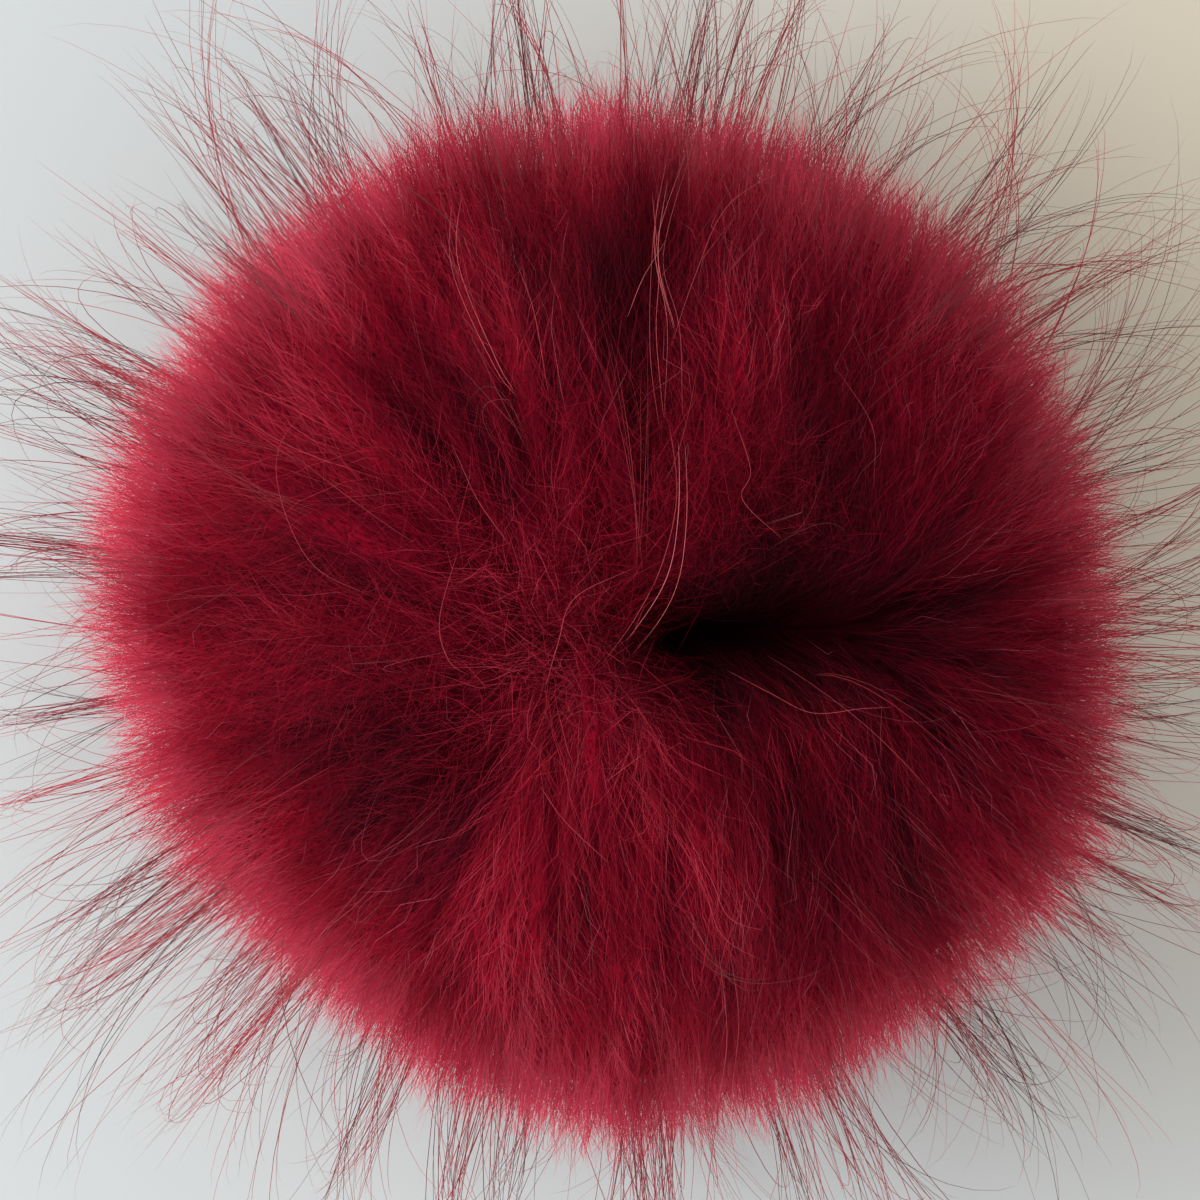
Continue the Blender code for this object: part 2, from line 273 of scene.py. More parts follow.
# Long loose hairs that lie over the wool. Each set runs through its places, in plan.
STRAY_STATIONS = tuple(np.linspace(0, 1, 25))
STRAY_HEIGHT = 0.0085  # over the wool's outer face
STRAY_WIDTH = 0.62  # as a share of the guard hair's
STRAY_TAPER = ((0, 0.2, 0.7, 1), (0.5, 1.0, 0.9, 0.35))
Stray = namedtuple("Stray", "hairs tint places")
STRAYS = (
    Stray(1, 0.98, ((0.0068, 0.0500), (0.0050, 0.0420), (0.0042, 0.0300), (0.0046, 0.0200))),
    Stray(2, 0.98, ((0.0067, 0.0470), (0.0060, 0.0400), (0.0066, 0.0360), (0.0086, 0.0310))),
    Stray(
        2,
        0.98,
        ((0.0092, 0.0490), (0.0066, 0.0420), (0.0060, 0.0380), (0.0073, 0.0310), (0.0069, 0.0200)),
    ),
    Stray(1, 0.98, ((0.0046, 0.0440), (0.0054, 0.0380), (0.0050, 0.0320), (0.0054, 0.0220))),
    Stray(1, 0.98, ((0.0172, 0.0450), (0.0124, 0.0420), (0.0100, 0.0360), (0.0084, 0.0300))),
    Stray(1, 0.98, ((0.0058, 0.0400), (0.0034, 0.0360), (0.0016, 0.0310))),
    Stray(
        1,
        0.97,
        ((0.0062, 0.0180), (0.0070, 0.0110), (0.0058, 0.0044), (0.0034, -0.0010), (0.0002, -0.0060)),
    ),
    Stray(2, 0.97, ((0.0074, 0.0170), (0.0068, 0.0090), (0.0056, 0.0030), (0.0018, -0.0036))),
    Stray(1, 0.84, ((-0.0145, 0.0070), (-0.0164, 0.0002), (-0.0158, -0.0040), (-0.0142, -0.0060))),
    Stray(1, 0.84, ((0.0035, 0.0046), (-0.0024, 0.0010), (-0.0037, -0.0040), (-0.0045, -0.0086))),
    Stray(2, 0.98, ((-0.0160, 0.0450), (-0.0150, 0.0360), (-0.0104, 0.0260), (-0.0080, 0.0230))),
    Stray(1, 0.84, ((-0.0160, 0.0180), (-0.0136, 0.0126), (-0.0098, 0.0076))),
    Stray(1, 0.84, ((-0.0078, 0.0340), (-0.0064, 0.0300), (-0.0052, 0.0230))),
    Stray(1, 0.84, ((-0.0300, 0.0200), (-0.0302, 0.0120), (-0.0278, 0.0030), (-0.0250, -0.0010))),
    Stray(1, 0.84, ((-0.0400, 0.0235), (-0.0355, 0.0192), (-0.0290, 0.0150), (-0.0220, 0.0125))),
    Stray(1, 0.84, ((0.0002, -0.0156), (0.0026, -0.0152), (0.0052, -0.0146))),
    Stray(1, 0.84, ((0.0120, 0.0190), (0.0142, 0.0130), (0.0136, 0.0100), (0.0175, 0.0060))),
    Stray(1, 0.84, ((0.0202, -0.0048), (0.0258, -0.0098), (0.0304, -0.0146), (0.0362, -0.0208))),
    Stray(
        1,
        0.84,
        ((0.0146, -0.0058), (0.0186, -0.0082), (0.0224, -0.0102), (0.0276, -0.0100), (0.0322, -0.0104)),
    ),
    Stray(2, 0.84, ((0.0070, -0.0202), (0.0092, -0.0246), (0.0104, -0.0280), (0.0138, -0.0302))),
    Stray(2, 0.84, ((0.0110, -0.0300), (0.0124, -0.0380), (0.0126, -0.0460), (0.0130, -0.0540))),
    Stray(1, 0.84, ((-0.0062, -0.0190), (-0.0032, -0.0217), (0.0014, -0.0247))),
    Stray(1, 0.84, ((0.0250, 0.0280), (0.0290, 0.0200), (0.0280, 0.0120))),
)

# ---- the finishes ---------------------------------------------------------------------------
# A hair's root shade is painted shade: how bright the hair is at its root, as a share of its tip,
# and streaks is how much a fine noise lightens and darkens it.
Finish = namedtuple("Finish", "root_shade streaks roughness gloss")
WOOL_FINISH = Finish(0.60, 0.3, 0.65, 0.09)
GUARD_FINISH = Finish(0.7, 0.5, 0.5, 0.22)
PELT_FINISH = Finish(1.0, 3.0, 0.9, 0.04)
TINTS = 128  # steps of tint from the darkest hair to the lightest
STEP_MARGIN = 0.1  # how far a strand's map keeps from the sides of its step
TINT_STOPS = ((0.0, 0.45, "Middle"), (0.45, 0.88, "Light"), (0.92, 0.97, "Pale"))
HAIR_GRAIN = (61.0, 7.0, 1.0)  # how often the noise changes across the strands' map and along it
PELT_BUMP, PELT_BUMP_DEPTH = 0.8, 0.0004

# ---- the studio -----------------------------------------------------------------------------
FRAME_PIXELS = 1200
MM_PER_PIXEL = 0.107
BALL_PIXEL = (605, 615)  # the ball's middle in the photograph
LENS, SENSOR = 200.0, 36.0
FLOOR_HALF, FLOOR_DROP = 0.9, 0.0002
FLOOR_ROUGHNESS = 0.85
# Painted light on the floor: a soft patch of warm light at one side.
WARM_LIGHT_PLACE = (0.105, 0.045, 0.0)  # the middle of the floor's soft warm patch
WARM_LIGHT_RADII = (0.030, 0.150)  # where that patch starts to fade, and where it ends
AIR_COLOUR, AIR_STRENGTH = (0.95, 0.98, 1.0, 1.0), 0.70
LIGHT_AIM = (0, 0, 0.04)
Light = namedtuple("Light", "name place size power colour")
LIGHTS = (
    Light("key", (-0.68, 0.10, 0.72), 0.60, 5.6, (1.0, 0.99, 0.97)),
    Light("fill", (0.06, -0.75, 0.30), 0.50, 1.1, (1.0, 0.98, 0.98)),
)


class PomPomSizes(bpy.types.PropertyGroup):
    core_radius: FloatProperty(
        name="Core radius",
        description="Radius of the ball where its wool is too dense to see into",
        default=0.0475,
        unit="LENGTH",
    )
    core_height: FloatProperty(
        name="Core height",
        description="Height of the ball's middle above the surface",
        default=0.0435,
        unit="LENGTH",
    )
    flat_radius: FloatProperty(
        name="Flat radius",
        description="Radius of the flat spot that it rests on",
        default=0.0185,
        unit="LENGTH",
    )
    guard_reach: FloatProperty(
        name="Guard hair reach",
        description="How far the long guard hair stands out from the ball's middle",
        default=0.0780,
        unit="LENGTH",
    )
    guard_width: FloatProperty(
        name="Guard hair thickness",
        description="Thickness of one guard hair where it is widest",
        default=0.000095,
        unit="LENGTH",
    )
    guard_hairs: IntProperty(
        name="Guard hairs",
        description="Number of guard hairs that stand out in loose bundles",
        default=1100,
    )


class PomPomColours(bpy.types.PropertyGroup):
    # The grooves' painted shade brings the wool in the hollows down towards this colour.
    wool_dark: FloatVectorProperty(
        name="Dark wool",
        description="Colour of the darkest wool, in the hollows",
        default=(0.040, 0.0004, 0.0045),
        subtype="COLOR",
    )
    wool_middle: FloatVectorProperty(
        name="Wool",
        description="Colour of most of the wool",
        default=(0.350, 0.0028, 0.021),
        subtype="COLOR",
    )
    # Painted light round the edge lifts the wool there towards this colour.
    wool_light: FloatVectorProperty(
        name="Light wool",
        description="Colour of the lightest wool, at the ball's edge",
        default=(0.980, 0.080, 0.145),
        subtype="COLOR",
    )
    # Painted highlights: the colour of the pale fibres, which stand in for the highlights single fibres
    # catch.
    wool_pale_highlight: FloatVectorProperty(
        name="Pale wool",
        description="Colour of the few pale fibres in the wool",
        default=(0.520, 0.085, 0.125),
        subtype="COLOR",
    )
    guard_dark: FloatVectorProperty(
        name="Dark guard hair",
        description="Colour of the brown guard hairs",
        default=(0.105, 0.036, 0.034),
        subtype="COLOR",
    )
    guard_middle: FloatVectorProperty(
        name="Guard hair",
        description="Colour of most guard hairs",
        default=(0.340, 0.022, 0.035),
        subtype="COLOR",
    )
    guard_light: FloatVectorProperty(
        name="Light guard hair",
        description="Colour of the bright guard hairs",
        default=(0.680, 0.072, 0.098),
        subtype="COLOR",
    )
    guard_pale: FloatVectorProperty(
        name="Pale guard hair",
        description="Colour of the pale hairs that lie loose over the wool",
        default=(1.000, 0.230, 0.235),
        subtype="COLOR",
    )
    floor: FloatVectorProperty(
        name="Floor",
        description="Colour of the floor",
        default=(0.655, 0.690, 0.690),
        subtype="COLOR",
    )
    # Painted light: the colour of the floor's patch of warm light.
    floor_warm_light: FloatVectorProperty(
        name="Warm floor",
        description="Colour of the floor's soft warm patch",
        default=(0.720, 0.640, 0.500),
        subtype="COLOR",
    )


def sizes():
    """The sizes that a user can change."""
    return bpy.context.scene.pom_pom_sizes


def colours():
    """The colours that a user can change."""
    return bpy.context.scene.pom_pom_colours


# ---- shapes ---------------------------------------------------------------------------------
def unit(vectors):
    """Each vector divided by its own length."""
    return vectors / np.maximum(np.linalg.norm(vectors, axis=-1, keepdims=True), 1e-12)


def direction_of(azimuth, polar):
    """The unit vector at an azimuth and a polar angle in degrees."""
    a, p = math.radians(azimuth), math.radians(polar)
    return np.array([math.sin(p) * math.cos(a), math.sin(p) * math.sin(a), math.cos(p)])


def polar_of(directions):
    """Each direction's angle from straight up, in degrees."""
    return np.degrees(np.arccos(np.clip(directions[:, 2], -1, 1)))


def plan_of(directions):
    """Where each direction meets the ball, seen from above."""
    return sizes().core_radius * directions[:, :2]


def upper(directions):
    """Which directions point to the ball's upper half."""
    return directions[:, 2] > 0


def turned(heading, aside, angle):
    """Each heading turned by an angle towards a unit vector at right angles to it: the heading
    times the angle's cosine, plus the other times its sine."""
    return heading * np.cos(angle)[:, None] + aside * np.sin(angle)[:, None]


def bell(away, width):
    """A bell curve: 1 where away is nothing, falling as the power of e to the negative square of
    away over width."""
    return np.exp(-((away / width) ** 2))


def eased(share):
    """A share that starts and ends gently: three times its square, less twice its cube."""
    return share * share * (3 - 2 * share)


def shares(stations):
    """Stations as shares of a line's length, in the shape of lines of points."""
    return np.asarray(stations)[None, :, None]


def middle():
    """The ball's middle."""
    return np.array([0.0, 0.0, sizes().core_height])


def nearest_on(plan, start, end):
    """For each plan place, the nearest point of the line from start to end: the place is measured
    along the line, and held between its ends."""
    start, end = np.array(start), np.array(end)
    run = end - start
    share = np.clip((plan - start) @ run / (run @ run), 0, 1)
    return start + share[:, None] * run


def away_from(plan, start, end):
    """For each plan place, its distance from the line from start to end."""
    return np.linalg.norm(plan - nearest_on(plan, start, end), axis=1)


def groove_depths(directions, grooves):
    """How deep each direction lies in the grooves, one column for each: depth times a bell curve
    of the distance from the groove's line in plan, on the upper half only."""
    plan = plan_of(directions)
    depths = [
        groove.depth * bell(away_from(plan, groove.start, groove.end), groove.half_width)
        for groove in grooves
    ]
    return np.stack(depths, axis=1) * upper(directions)[:, None]


def patched(directions, patches):
    """The sum of the patches by place: each fades as a bell curve of the distance in plan, on the
    upper half only."""
    plan = plan_of(directions)
    total = np.zeros(len(directions))
    for patch in patches:
        away = np.linalg.norm(plan - np.array(patch.plan), axis=1)
        total += patch.amount * bell(away, patch.radius)
    return total * upper(directions)


def core_radius(directions):
    """The core's radius in each direction: round, plus a bell curve of the angle off each bulge's
    axis, less the grooves."""
    radius = np.full(len(directions), sizes().core_radius)
    for bulge in BULGES:
        facing = directions @ direction_of(bulge.azimuth, bulge.polar)
        off_axis = np.degrees(np.arccos(np.clip(facing, -1, 1)))
        radius += bulge.height * bell(off_axis, bulge.spread)
    return radius - groove_depths(directions, GROOVES).sum(axis=1)


def ripple(directions, size, rng, waves=24):
    """Soft noise of about -1 to 1: a mean of sines along random directions, a size apart on the
    ball."""
    headings = unit(rng.normal(size=(waves, 3)))
    length = size * rng.uniform(0.7, 1.5, (waves, 1))
    places = sizes().core_radius * directions @ (headings * 2 * math.pi / length).T
    return np.sin(places + rng.uniform(0, 2 * math.pi, waves)).sum(axis=1) / math.sqrt(waves / 2)


def comb_roots(directions):
    """For each direction, the nearest point of the comb line in plan, and that point's own
    direction."""
    radius = sizes().core_radius
    near = nearest_on(plan_of(directions), *COMB_LINE)
    height = np.sqrt(radius**2 - (near**2).sum(axis=1))
    return near, unit(np.column_stack([near, height]))


def comb_places(directions):
    """Each direction's place in the comb: the nearest point of the comb line in plan, how far the
    direction is from there along the ball, and its bearing from there."""
    near, parting = comb_roots(directions)
    away = np.arccos(np.clip((directions * parting).sum(axis=1), -1, 1)) * sizes().core_radius
    return near, away, unit(directions[:, :2] - parting[:, :2])


def flow_ripple(directions, across, along, rng, waves=24):
    """Soft noise of about -1 to 1 in streaks that follow the comb: a mean of sines that change
    quickly with the bearing from the comb line, and slowly with the distance from it."""
    near, away, bearing = comb_places(directions)
    places = np.column_stack([near, bearing * COMB_RING])
    headings = unit(rng.normal(size=(waves, 4))) * rng.uniform(0.6, 1.4, (waves, 1)) / across
    phase = places @ headings.T + away[:, None] * rng.uniform(-1, 1, waves) / along
    phase = 2 * math.pi * (phase + rng.random(waves))
    return np.sin(phase).sum(axis=1) / math.sqrt(waves / 2)


def comb_directions(directions, turn):
    """Which way the fur is swept: along the ball, away from the nearest point of the comb line,
    turned by an angle about the way out."""
    _, parting = comb_roots(directions)
    swept = directions - parting
    swept = unit(swept - (swept * directions).sum(axis=1, keepdims=True) * directions)
    return turned(swept, np.cross(directions, swept), turn)


def scattered(count, rng):
    """Directions spread over the ball above its flat spot: a spiral from the top to the bottom, a
    golden angle apart, each moved by half its spacing. Its turns lie closer where hair is denser."""
    s = sizes()
    lowest = -s.core_height / math.hypot(s.core_height, s.flat_radius)
    step = np.arange(count) + 0.5
    levels = np.linspace(1, lowest, 400)
    grown = np.cumsum(np.interp(levels, *zip(*CROWDING)))
    height = np.interp(step / count, (grown - grown[0]) / (grown[-1] - grown[0]), levels)
    turn = step * math.pi * (3 - math.sqrt(5))
    level = np.sqrt(1 - height**2)
    spiral = np.stack([level * np.cos(turn), level * np.sin(turn), height], axis=1)
    spacing = math.sqrt(BALL_SURFACE / count)
    return unit(spiral + rng.normal(0, 0.5 * spacing, spiral.shape))


def nearest_of(directions, centres, at_a_time=4000):
    """For each direction, the number of the nearest centre, worked out a few thousand at a time."""
    found = [
        np.argmax(part.astype(np.float32) @ centres.T.astype(np.float32), axis=1)
        for part in np.array_split(directions, max(1, len(directions) // at_a_time))
    ]
    return np.concatenate(found)


def swept_lines(directions, comb, sweep, root, tip, stations, rise=1.35):
    """Lines that rise from the ball while they turn along the comb. At a share of its length, a
    line has turned by that share of its sweep, and has risen by one less what is left of its
    length to the power of rise."""
    share = np.asarray(stations, dtype=float)
    turn = sweep[:, None] * share
    heading = (
        directions[:, None, :] * np.cos(turn)[..., None]
        + comb[:, None, :] * np.sin(turn)[..., None]
    )
    risen = 1 - (1 - share) ** rise
    radius = root[:, None] + (tip - root)[:, None] * risen
    return heading * radius[..., None]


def laid_on_floor(lines, clearance=0.0002, ease=0.008):
    """Hair that would go through the floor bends to lie on it. Its height is eased into the floor
    on a hyperbola, more gently towards its tip, and it moves outwards by half of what it rises."""
    share = np.linspace(0, 1, lines.shape[1])
    height = lines[..., 2] - clearance
    risen = 0.5 * (np.sqrt(height**2 + (ease * share) ** 2) - height)
    lines[..., 2] += risen
    lines[..., :2] += 0.5 * risen[..., None] * unit(lines[..., :2])
    return lines


def strand_mesh(name, lines, width, taper, tint, facing, soft, rng, end_soft=0.7):
    """One mesh of closed three-sided strands, pointed at both ends. A profile of three corners, a
    third of a turn apart, is carried along each line between its ends, at the width times the
    taper. A corner's normal is the profile's own, or at an end the line's, there mixed by end_soft
    with the way the wool faces. All are then mixed with it by soft, so that fine hair shades as
    one soft mass. On the strand's map, u is its tint and v runs from 0 at the root to 1 at the
    tip."""
    count, stations, _ = lines.shape
    rings = stations - 2
    tangent = unit(lines[:, 2:] - lines[:, :-2])
    roll = unit(rng.normal(size=(count, 1, 3)))
    side = unit(np.cross(tangent, roll))
    other = np.cross(tangent, side)
    angle = np.arange(3) * 2 * math.pi / 3
    profile = (
        np.cos(angle)[:, None] * side[:, :, None, :] + np.sin(angle)[:, None] * other[:, :, None, :]
    )
    radius = 0.5 * width[:, None] * np.asarray(taper)[None, 1:-1]
    ring = lines[:, 1:-1, None, :] + radius[..., None, None] * profile
    corners = np.concatenate(
        [lines[:, :1, :], ring.reshape(count, rings * 3, 3), lines[:, -1:, :]], axis=1
    )
    own = np.concatenate(
        [-tangent[:, :1], profile.reshape(count, rings * 3, 3), tangent[:, -1:]], axis=1
    )
    own[:, [0, -1]] = own[:, [0, -1]] * (1 - end_soft) + facing[:, None] * end_soft
    normals = unit(own * (1 - soft) + facing[:, None] * soft)

    share = np.linspace(0, 1, stations)
    tip = 3 * rings + 1
    faces, across, along = [], [], []
    for s in range(3):
        t = (s + 1) % 3
        faces.append((0, 1 + t, 1 + s))
        across.append((s + 0.5, s + 1, s))
        along.append((0.0, share[1], share[1]))
        for r in range(rings - 1):
            a, b = 1 + 3 * r + s, 1 + 3 * r + t
            low, high = share[r + 1], share[r + 2]
            faces += [(a, b, b + 3), (a, b + 3, a + 3)]
            across += [(s, s + 1, s + 1), (s, s + 1, s)]
            along += [(low, low, high), (low, high, high)]
        faces.append((tip - 3 + s, tip - 3 + t, tip))
        across.append((s, s + 1, s + 0.5))
        along.append((share[-2], share[-2], 1.0))
    faces, across, along = np.array(faces), np.array(across) / 3, np.array(along)

    indices = faces[None] + (np.arange(count) * (tip + 1))[:, None, None]
    step = np.clip((tint * TINTS).astype(int), 0, TINTS - 1)
    u = (step[:, None, None] + STEP_MARGIN + (1 - 2 * STEP_MARGIN) * across[None]) / TINTS
    v = np.broadcast_to(along[None], u.shape)
    mesh = filled_mesh(name, corners.reshape(-1, 3), indices.reshape(-1, 3), u, v)
    mesh.normals_split_custom_set_from_vertices(normals.reshape(-1, 3).astype(np.float32))
    return mesh


def filled_mesh(name, corners, triangles, u, v):
    """A smooth mesh of triangles with its own map."""
    mesh = bpy.data.meshes.new(name)
    mesh.vertices.add(len(corners))
    mesh.vertices.foreach_set("co", corners.astype(np.float32).ravel())
    mesh.loops.add(triangles.size)
    mesh.loops.foreach_set("vertex_index", triangles.astype(np.int32).ravel())
    mesh.polygons.add(len(triangles))
    mesh.polygons.foreach_set("loop_start", np.arange(0, triangles.size, 3, dtype=np.int32))
    mesh.polygons.foreach_set("use_smooth", np.ones(len(triangles), dtype=bool))
    uv = mesh.uv_layers.new(name=STRAND_UV)
    uv.data.foreach_set("uv", np.stack([u.ravel(), v.ravel()], axis=1).astype(np.float32).ravel())
    mesh.update(calc_edges=True)
    mesh.validate()
    return mesh


def added(name, mesh, material):
    """Puts a finished mesh in the scene as a piece of the pom pom."""
    piece = bpy.data.objects.new(name, mesh)
    bpy.context.scene.collection.objects.link(piece)
    mesh.materials.append(material)
    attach(piece, BODY)
    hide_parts(NODE)
    return piece


# ---- materials ------------------------------------------------------------------------------
def feed(tree, socket, given):
    """Links another socket to a socket, or sets a value on it."""
    if isinstance(given, bpy.types.NodeSocket):
        tree.links.new(given, socket)
    else:
        socket.default_value = given


def ranged(tree, value, low, high, to_low=0.0, to_high=1.0, kind="LINEAR"):
    """A socket's value carried from one range to another, and held inside it."""
    node = tree.nodes.new("ShaderNodeMapRange")
    node.interpolation_type = kind
    node.clamp = True
    ends = {"Value": value, "From Min": low, "From Max": high, "To Min": to_low, "To Max": to_high}
    for socket, given in ends.items():
        feed(tree, node.inputs[socket], given)
    return node.outputs["Result"]


def mixed(tree, factor, first, second):
    """Two colours mixed by a factor."""
    node = tree.nodes.new("ShaderNodeMix")
    node.data_type = "RGBA"
    for socket, given in zip(("Factor", "A", "B"), (factor, first, second)):
        feed(tree, node.inputs[socket], given)
    return node.outputs["Result"]


def computed(tree, operation, *given):
    """The result of a sum, such as a difference or a product, of sockets and numbers."""
    node = tree.nodes.new("ShaderNodeMath")
    node.operation = operation
    for place, each in enumerate(given):
        feed(tree, node.inputs[place], each)
    return node.outputs[0]


def fur_colour_group():
    """The colour of fur. Tint picks it between dark, middle, light and pale, along darkens it towards
    the root as painted shade, and a fine noise over grain breaks it up. Height is that noise."""
    name = "Fur colour"
    if name in bpy.data.node_groups:
        return bpy.data.node_groups[name]
    group = bpy.data.node_groups.new(name, "ShaderNodeTree")
    face = group.interface
    for socket in ("Tint", "Along", "Root shade", "Streaks"):
        face.new_socket(socket, in_out="INPUT", socket_type="NodeSocketFloat")
    face.new_socket("Grain", in_out="INPUT", socket_type="NodeSocketVector")
    for socket in ("Dark", "Middle", "Light", "Pale"):
        face.new_socket(socket, in_out="INPUT", socket_type="NodeSocketColor")
    face.new_socket("Colour", in_out="OUTPUT", socket_type="NodeSocketColor")
    face.new_socket("Height", in_out="OUTPUT", socket_type="NodeSocketFloat")
    given = group.nodes.new("NodeGroupInput").outputs
    out = group.nodes.new("NodeGroupOutput").inputs
    colour = given["Dark"]
    for low, high, socket in TINT_STOPS:
        colour = mixed(group, ranged(group, given["Tint"], low, high), colour, given[socket])
    noise = group.nodes.new("ShaderNodeTexNoise")
    noise.inputs["Scale"].default_value = 1.0
    noise.inputs["Detail"].default_value = 2.0
    group.links.new(given["Grain"], noise.inputs["Vector"])
    centred = computed(group, "SUBTRACT", noise.outputs["Fac"], 0.5)
    streak = computed(group, "MULTIPLY_ADD", centred, given["Streaks"], 1.0)
    # Painted shade towards the root.
    painted_root_shade = ranged(group, given["Along"], 0.0, 0.85, given["Root shade"], 1.0)
    scaled = group.nodes.new("ShaderNodeVectorMath")
    scaled.operation = "SCALE"
    group.links.new(colour, scaled.inputs[0])
    group.links.new(computed(group, "MULTIPLY", streak, painted_root_shade), scaled.inputs["Scale"])
    group.links.new(scaled.outputs["Vector"], out["Colour"])
    group.links.new(noise.outputs["Fac"], out["Height"])
    return group


def fur_material(name, tints, finish):
    """A new material with the fur colour on a soft shader, and its two nodes."""
    material = bpy.data.materials.new(name)
    material.use_nodes = True
    tree = material.node_tree
    shader = tree.nodes["Principled BSDF"]
    fur = tree.nodes.new("ShaderNodeGroup")
    fur.node_tree = fur_colour_group()
    for socket, colour in zip(("Dark", "Middle", "Light", "Pale"), tints):
        fur.inputs[socket].default_value = (*colour, 1.0)
    fur.inputs["Root shade"].default_value = finish.root_shade
    fur.inputs["Streaks"].default_value = finish.streaks
    tree.links.new(fur.outputs["Colour"], shader.inputs["Base Color"])
    shader.inputs["Roughness"].default_value = finish.roughness
    shader.inputs["Specular IOR Level"].default_value = finish.gloss
    return material, fur, shader


def hair_material(name, tints, finish):
    """A hair finish: on a strand's map, u is its tint and v runs along it."""
    if name in bpy.data.materials:
        return bpy.data.materials[name]
    material, fur, _ = fur_material(name, tints, finish)
    tree = material.node_tree
    uv = tree.nodes.new("ShaderNodeUVMap")
    uv.uv_map = STRAND_UV
    split = tree.nodes.new("ShaderNodeSeparateXYZ")
    tree.links.new(uv.outputs["UV"], split.inputs[0])
    tree.links.new(split.outputs["X"], fur.inputs["Tint"])
    tree.links.new(split.outputs["Y"], fur.inputs["Along"])
    stretched = tree.nodes.new("ShaderNodeMapping")
    stretched.inputs["Scale"].default_value = HAIR_GRAIN
    tree.links.new(uv.outputs["UV"], stretched.inputs["Vector"])
    tree.links.new(stretched.outputs["Vector"], fur.inputs["Grain"])
    return material


def wool_tints():
    """The wool's colours, from dark to pale."""
    c = colours()
    return c.wool_dark, c.wool_middle, c.wool_light, c.wool_pale_highlight


def wool_material():
    """The finish of the wool's hairs."""
    return hair_material("wool", wool_tints(), WOOL_FINISH)


def guard_material():
    """The finish of the guard hair: glossier than the wool."""
    c = colours()
    tints = (c.guard_dark, c.guard_middle, c.guard_light, c.guard_pale)
    return hair_material("guard_hair", tints, GUARD_FINISH)


def pelt_material():
    """The dense wool under the strands: its own attributes hold its tint, with its painted light and
    shade, and its place in the comb, which draws the grain out into streaks."""
    name = "dense_wool"
    if name in bpy.data.materials:
        return bpy.data.materials[name]
    material, fur, shader = fur_material(name, wool_tints(), PELT_FINISH)
    tree = material.node_tree
    fur.inputs["Along"].default_value = 1.0
    for attribute, output, socket in (("shade", "Fac", "Tint"), ("comb", "Vector", "Grain")):
        node = tree.nodes.new("ShaderNodeAttribute")
        node.attribute_name = attribute
        tree.links.new(node.outputs[output], fur.inputs[socket])
    bump = tree.nodes.new("ShaderNodeBump")
    bump.inputs["Strength"].default_value = PELT_BUMP
    bump.inputs["Distance"].default_value = PELT_BUMP_DEPTH
    tree.links.new(fur.outputs["Height"], bump.inputs["Height"])
    tree.links.new(bump.outputs["Normal"], shader.inputs["Normal"])
    return material


# ---- the wool -------------------------------------------------------------------------------
def matting(directions):
    """How matted the wool is by place, as radians of stray."""
    return patched(directions, MATTED)


def edge_share(directions):
    """0 on top, rising smoothly to 1 round the ball's edge."""
    return eased(np.clip((polar_of(directions) - EDGE_START) / EDGE_RUN, 0, 1))


def near_comb_line(directions):
    """1 on the comb line, falling as a bell curve of the distance from it in plan."""
    return bell(away_from(plan_of(directions), *COMB_LINE), COMB_NEAR) * upper(directions)


def shade_of(directions):
    """How much lighter or darker the wool's tint is by place: painted shade in the grooves, painted
    light round the edge, painted light and shade in patches, with some changes of tone, and soft
    streaks of a few sizes."""
    rng = np.random.default_rng(SEED + 2)
    relative = groove_depths(directions, GROOVES) / np.array([groove.depth for groove in GROOVES])
    # Painted shade: the wool is darker in each groove.
    painted_groove_shade = (relative * np.array(GROOVE_PAINTED_SHADES)).sum(axis=1)
    uneven = 0.035 * ripple(directions, 0.030, rng)
    for strength, across, along in SHADE_STREAKS:
        uneven = uneven + strength * flow_ripple(directions, across, along, rng)
    edge = edge_share(directions)
    uneven = uneven * (1 - EDGE_EVEN_SHADE * edge)
    # Painted light round the edge, and painted light and shade in the patches.
    return uneven + EDGE_PAINTED_LIGHT * edge + patched(directions, PAINTED_LIGHT_AND_SHADE) - painted_groove_shade


def clear_of_parting(lines):
    """Which hairs stay out of the parting: those with no point over its line, nearer to it than
    a gap that narrows to nothing at the parting's ends."""
    plan = lines[:, 1:, :2]
    start, end = np.array(PARTING.start), np.array(PARTING.end)
    share = ((plan - start) @ (end - start)) / ((end - start) @ (end - start))
    near = start + np.clip(share, 0, 1)[..., None] * (end - start)
    away = np.linalg.norm(plan - near, axis=-1)
    gap = PARTING_GAP * np.clip(np.minimum(share, 1.25 - share) * 5 + 0.5, 0, 1)
    return ~((away < gap) & (lines[:, 1:, 2] > 0)).any(axis=1)


def lie_of(directions):
    """How the wool's lie changes by place: a turn of the comb in radians, a change of reach, and a
    change of sweep as a share. Broad locks and narrow ones are streaks along the comb."""
    rng = np.random.default_rng(SEED + 4)
    broad, narrow, fine = (
        flow_ripple(directions, streak.across, streak.along, rng)
        for streak in (BROAD, NARROW, FINE)
    )
    turn = 0.17 * ripple(directions, 0.026, rng) + 0.08 * flow_ripple(directions, 0.005, 0.02, rng)
    even = 1 - EDGE_EVEN_REACH * edge_share(directions)
    reach = even * (BROAD.reach * broad + NARROW.reach * narrow) + FINE.reach * fine
    return turn, reach, BROAD.sweep * broad + NARROW.sweep * narrow + FINE.sweep * fine


def wool_radius(directions):
    """The radius of the wool's soft outer face: the core, its finer locks and its change of
    reach."""
    locks = -groove_depths(directions, LOCKS).sum(axis=1)
    return core_radius(directions) + locks + lie_of(directions)[1]


